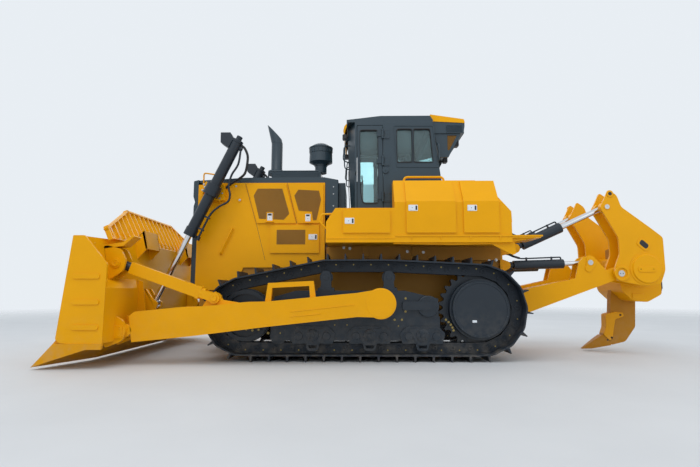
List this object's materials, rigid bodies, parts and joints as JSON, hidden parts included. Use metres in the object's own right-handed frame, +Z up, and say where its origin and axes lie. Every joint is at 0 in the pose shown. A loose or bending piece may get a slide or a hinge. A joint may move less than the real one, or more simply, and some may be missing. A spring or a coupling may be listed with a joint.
{
  "type": "crawler bulldozer",
  "caption": "Large crawler dozer with a semi-U blade on push arms, enclosed cab, steel tracks and a single shank parallelogram ripper at the rear.",
  "frame": {"origin": "middle of the machine's footprint box, on the ground at the grouser tips", "axes": "+X forward towards the blade, +Y to the machine's left, +Z up"},
  "size_m": [9.238, 4.314, 3.952],
  "materials": {
    "yellow": "satin golden yellow paint",
    "dark": "dark blue grey paint",
    "frame_brown": "yellow paint in shade and dust",
    "track_steel": "painted cast track steel",
    "edge_steel": "yellow painted wear steel",
    "rod": "polished chrome rod",
    "glass": "tinted glass",
    "seat": "dark seat fabric",
    "interior": "dark moulded plastic",
    "engine": "painted engine block",
    "lamp": "dark lamp housing",
    "shank": "yellow painted forging"
  },
  "bodies": {
    "root": {"air_conditioner": "dark", "air_precleaner": "dark", "cab_body": "dark", "cab_glass": "glass", "cab_roof": "dark", "console": "interior", "engine_block": "engine", "exhaust_stack": "dark", "fender_left": "yellow", "fender_right": "yellow", "firewall": "dark", "handrails": "yellow", "hood": "yellow", "hood_cover": "dark", "idlers": "dark", "lift_brackets": "yellow", "main_frame": "frame_brown", "radiator_guard": "yellow", "rear_tank": "yellow", "ripper_bracket": "yellow", "seat": "seat", "sprockets": "dark", "track_frame_left": "dark", "track_frame_right": "dark", "track_left": "track_steel", "track_right": "track_steel", "track_rollers": "dark", "work_lamps": "lamp"},
    "blade_lift": {"blade": "yellow", "cutting_edge": "edge_steel", "push_arm_left": "yellow", "push_arm_right": "yellow", "brace_left": "yellow", "brace_right": "yellow"},
    "lift_barrels": {"lift_barrels": "dark"},
    "lift_rods": {"lift_rods": "rod"},
    "ripper_arms": {"ripper_arms": "yellow"},
    "ripper_pins": {"ripper_pins": "dark"},
    "ripper_beam": {"ripper_beam": "yellow", "ripper_shank": "shank", "ripper_tooth": "shank"},
    "ripper_lift_barrels": {"ripper_lift_barrels": "dark"},
    "ripper_lift_rods": {"ripper_lift_rods": "rod"},
    "ripper_tilt_barrels": {"ripper_tilt_barrels": "dark"},
    "ripper_tilt_rods": {"ripper_tilt_rods": "rod"},
    "cab_door_left": {"cab_door_left": "dark", "cab_door_glass_left": "glass"},
    "engine_door_front_left": {"engine_door_front_left": "yellow"},
    "engine_door_rear_left": {"engine_door_rear_left": "yellow"},
    "engine_door_low_left": {"engine_door_low_left": "yellow"},
    "cab_door_right": {"cab_door_right": "dark", "cab_door_glass_right": "glass"},
    "engine_door_front_right": {"engine_door_front_right": "yellow"},
    "engine_door_rear_right": {"engine_door_rear_right": "yellow"},
    "engine_door_low_right": {"engine_door_low_right": "yellow"},
    "box_door_front": {"box_door_front": "yellow"},
    "box_door_middle": {"box_door_middle": "yellow"},
    "box_door_rear": {"box_door_rear": "yellow"}
  },
  "joints": [
    {"name": "blade_raise", "type": "hinge", "parent": "root", "child": "blade_lift", "pos_m": [0.074, 0, 0.837], "axis": [0, -1, 0], "range_deg": [-8, 18]},
    {"name": "lift_barrel_swing", "type": "hinge", "parent": "root", "child": "lift_barrels", "pos_m": [2.719, 0, 2.618], "axis": [0, -1, 0], "range_deg": [-6.8, 15.3]},
    {"name": "lift_rod_slide", "type": "slide", "parent": "lift_barrels", "child": "lift_rods", "axis": [-0.4275, 0, 0.904], "range_m": [-0.4407, 0.991]},
    {"name": "ripper_raise", "type": "hinge", "parent": "root", "child": "ripper_arms", "pos_m": [-2.1, 0, 0.72], "axis": [0, 1, 0], "range_deg": [-22, 24]},
    {"name": "ripper_pin_turn", "type": "hinge", "parent": "ripper_arms", "child": "ripper_pins", "pos_m": [-3.82, 0, 1.289], "axis": [0, 1, 0], "range_deg": [-19.68, 18.04]},
    {"name": "ripper_pitch", "type": "hinge", "parent": "ripper_pins", "child": "ripper_beam", "pos_m": [-3.82, 0, 1.289], "axis": [0, 1, 0], "range_deg": [-5, 20]},
    {"name": "ripper_lift_barrel_swing", "type": "hinge", "parent": "root", "child": "ripper_lift_barrels", "pos_m": [-2.022, 0, 1.426], "axis": [0, 1, 0], "range_deg": [-21.23, 23.16]},
    {"name": "ripper_lift_rod_slide", "type": "slide", "parent": "ripper_lift_barrels", "child": "ripper_lift_rods", "axis": [0.9995, 0, -0.0306], "range_m": [-0.2654, 0.2895]},
    {"name": "ripper_tilt_barrel_swing", "type": "hinge", "parent": "root", "child": "ripper_tilt_barrels", "pos_m": [-2.18, 0, 1.7], "axis": [0, 1, 0], "range_deg": [-25.02, 27.29]},
    {"name": "ripper_tilt_rod_slide", "type": "slide", "parent": "ripper_tilt_barrels", "child": "ripper_tilt_rods", "axis": [0.9112, 0, -0.4119], "range_m": [-0.093, 0.3705]},
    {"name": "cab_door_left_swing", "type": "hinge", "parent": "root", "child": "cab_door_left", "pos_m": [-0.016, 0.956, 2.98], "axis": [0, 0, 1], "range_deg": [0, 90]},
    {"name": "engine_door_front_left_swing", "type": "hinge", "parent": "root", "child": "engine_door_front_left", "pos_m": [1.5, 0.7263, 2.765], "axis": [1, 0, 0], "range_deg": [0, 90]},
    {"name": "engine_door_rear_left_swing", "type": "hinge", "parent": "root", "child": "engine_door_rear_left", "pos_m": [1.5, 0.7263, 2.765], "axis": [1, 0, 0], "range_deg": [0, 90]},
    {"name": "engine_door_low_left_swing", "type": "hinge", "parent": "root", "child": "engine_door_low_left", "pos_m": [1.812, 0.7263, 1.85], "axis": [0, 0, -1], "range_deg": [0, 90]},
    {"name": "cab_door_right_swing", "type": "hinge", "parent": "root", "child": "cab_door_right", "pos_m": [-0.016, -0.956, 2.98], "axis": [0, 0, -1], "range_deg": [0, 90]},
    {"name": "engine_door_front_right_swing", "type": "hinge", "parent": "root", "child": "engine_door_front_right", "pos_m": [1.5, -0.7263, 2.765], "axis": [-1, 0, 0], "range_deg": [0, 90]},
    {"name": "engine_door_rear_right_swing", "type": "hinge", "parent": "root", "child": "engine_door_rear_right", "pos_m": [1.5, -0.7263, 2.765], "axis": [-1, 0, 0], "range_deg": [0, 90]},
    {"name": "engine_door_low_right_swing", "type": "hinge", "parent": "root", "child": "engine_door_low_right", "pos_m": [1.812, -0.7263, 1.85], "axis": [0, 0, 1], "range_deg": [0, 90]},
    {"name": "box_door_front_swing", "type": "hinge", "parent": "root", "child": "box_door_front", "pos_m": [-0.092, 1.4263, 2.04], "axis": [0, 0, 1], "range_deg": [0, 90]},
    {"name": "box_door_middle_swing", "type": "hinge", "parent": "root", "child": "box_door_middle", "pos_m": [-1.062, 1.4263, 2.04], "axis": [0, 0, 1], "range_deg": [0, 90]},
    {"name": "box_door_rear_swing", "type": "hinge", "parent": "root", "child": "box_door_rear", "pos_m": [-1.7, 1.4263, 2.04], "axis": [0, 0, 1], "range_deg": [0, 90]}
  ],
  "couplings": [
    {"joint": "lift_barrel_swing", "follows": "blade_raise", "ratio": 0.85},
    {"joint": "lift_rod_slide", "follows": "blade_raise", "m_per_rad": 3.153},
    {"joint": "ripper_pin_turn", "follows": "ripper_raise", "ratio": -0.82},
    {"joint": "ripper_lift_barrel_swing", "follows": "ripper_raise", "ratio": 0.965},
    {"joint": "ripper_lift_rod_slide", "follows": "ripper_raise", "m_per_rad": 0.69},
    {"joint": "ripper_tilt_barrel_swing", "follows": "ripper_raise", "ratio": 1.137},
    {"joint": "ripper_tilt_rod_slide", "follows": "ripper_pitch", "m_per_rad": 1.06}
  ]
}
